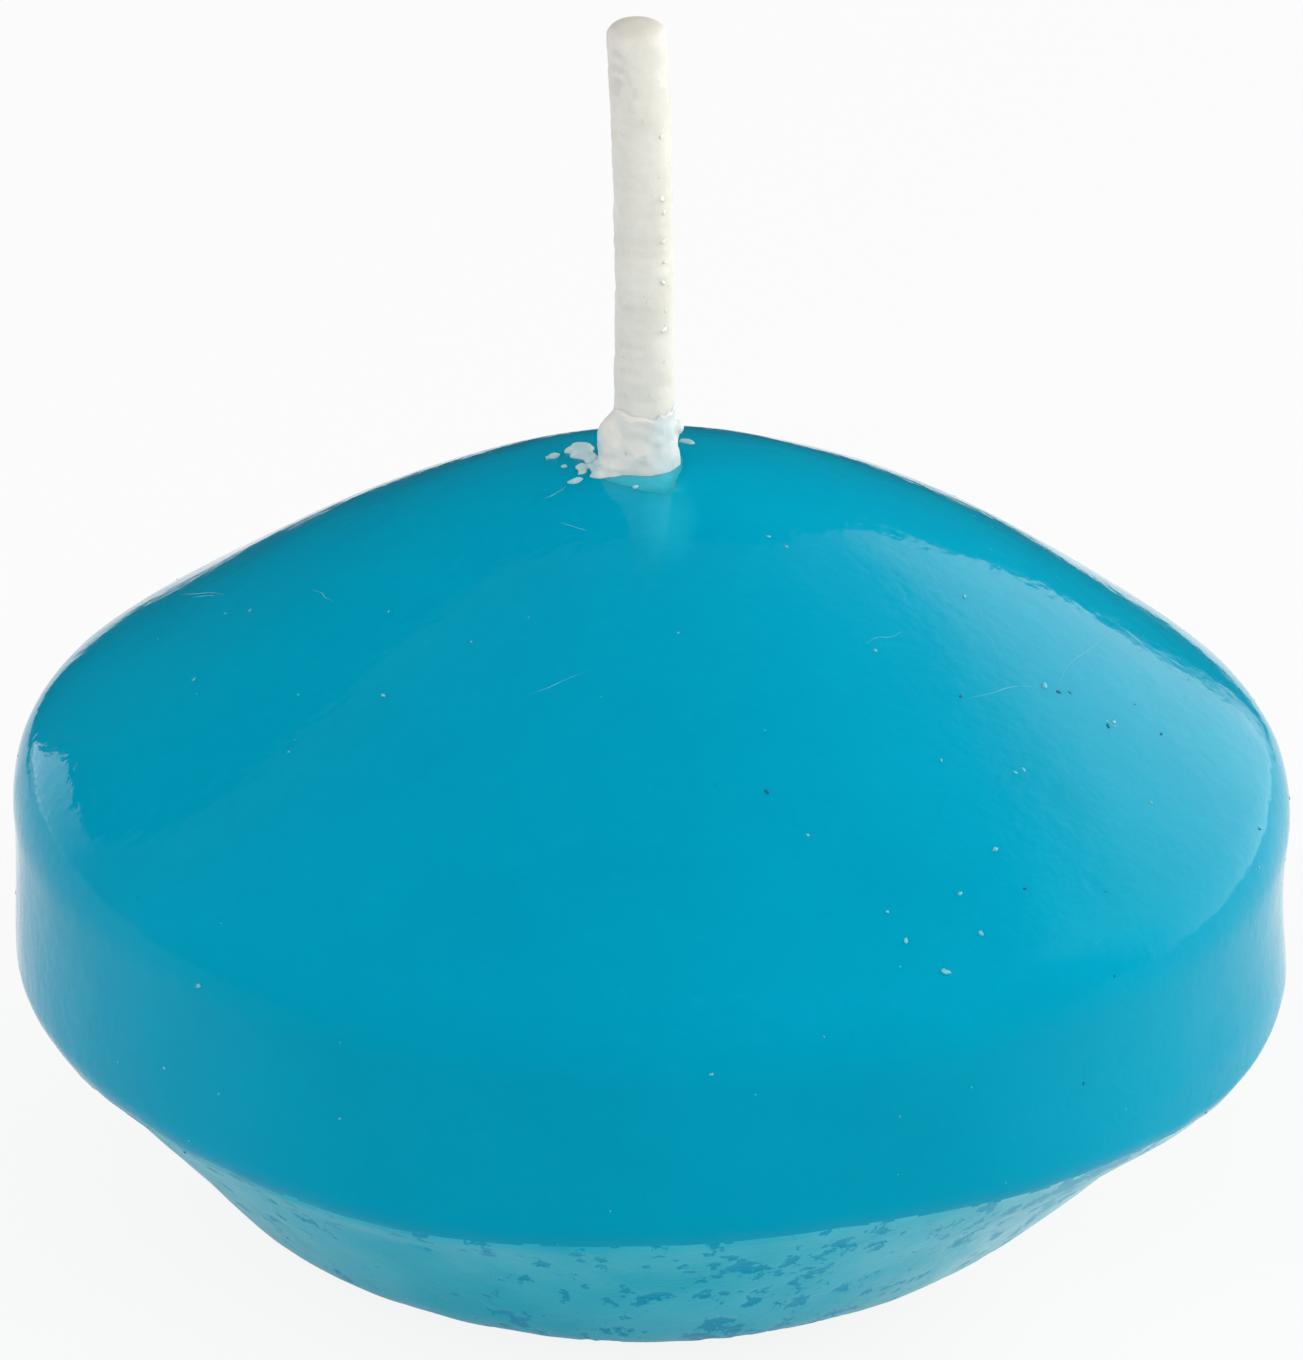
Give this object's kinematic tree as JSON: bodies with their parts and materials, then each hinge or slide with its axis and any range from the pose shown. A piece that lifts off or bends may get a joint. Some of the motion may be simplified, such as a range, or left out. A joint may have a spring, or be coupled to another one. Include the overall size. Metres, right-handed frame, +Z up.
{
  "type": "floating candle",
  "caption": "Floating candle: a domed blue wax body with an upright side band and a speckled, drawn-in base, and a white waxed wick sealed into its crown.",
  "frame": {"origin": "middle of the flat base that the candle stands on", "axes": "+Z up along the candle's axis; the picture is seen from -Y, with +X to the right"},
  "size_m": [0.0445, 0.0444, 0.044],
  "materials": {
    "blue_wax": "glossy moulded wax, matt and speckled on the underside",
    "white_wax": "translucent white wax, satin",
    "waxed_cotton": "braided cotton under a satin coat of wax",
    "tinned_steel": "bright tinned sheet"
  },
  "bodies": {
    "root": {"wax_body": "blue_wax", "wick": "waxed_cotton", "wick_seal": "white_wax", "wax_flakes": "white_wax", "wick_sustainer": "tinned_steel"}
  },
  "joints": []
}
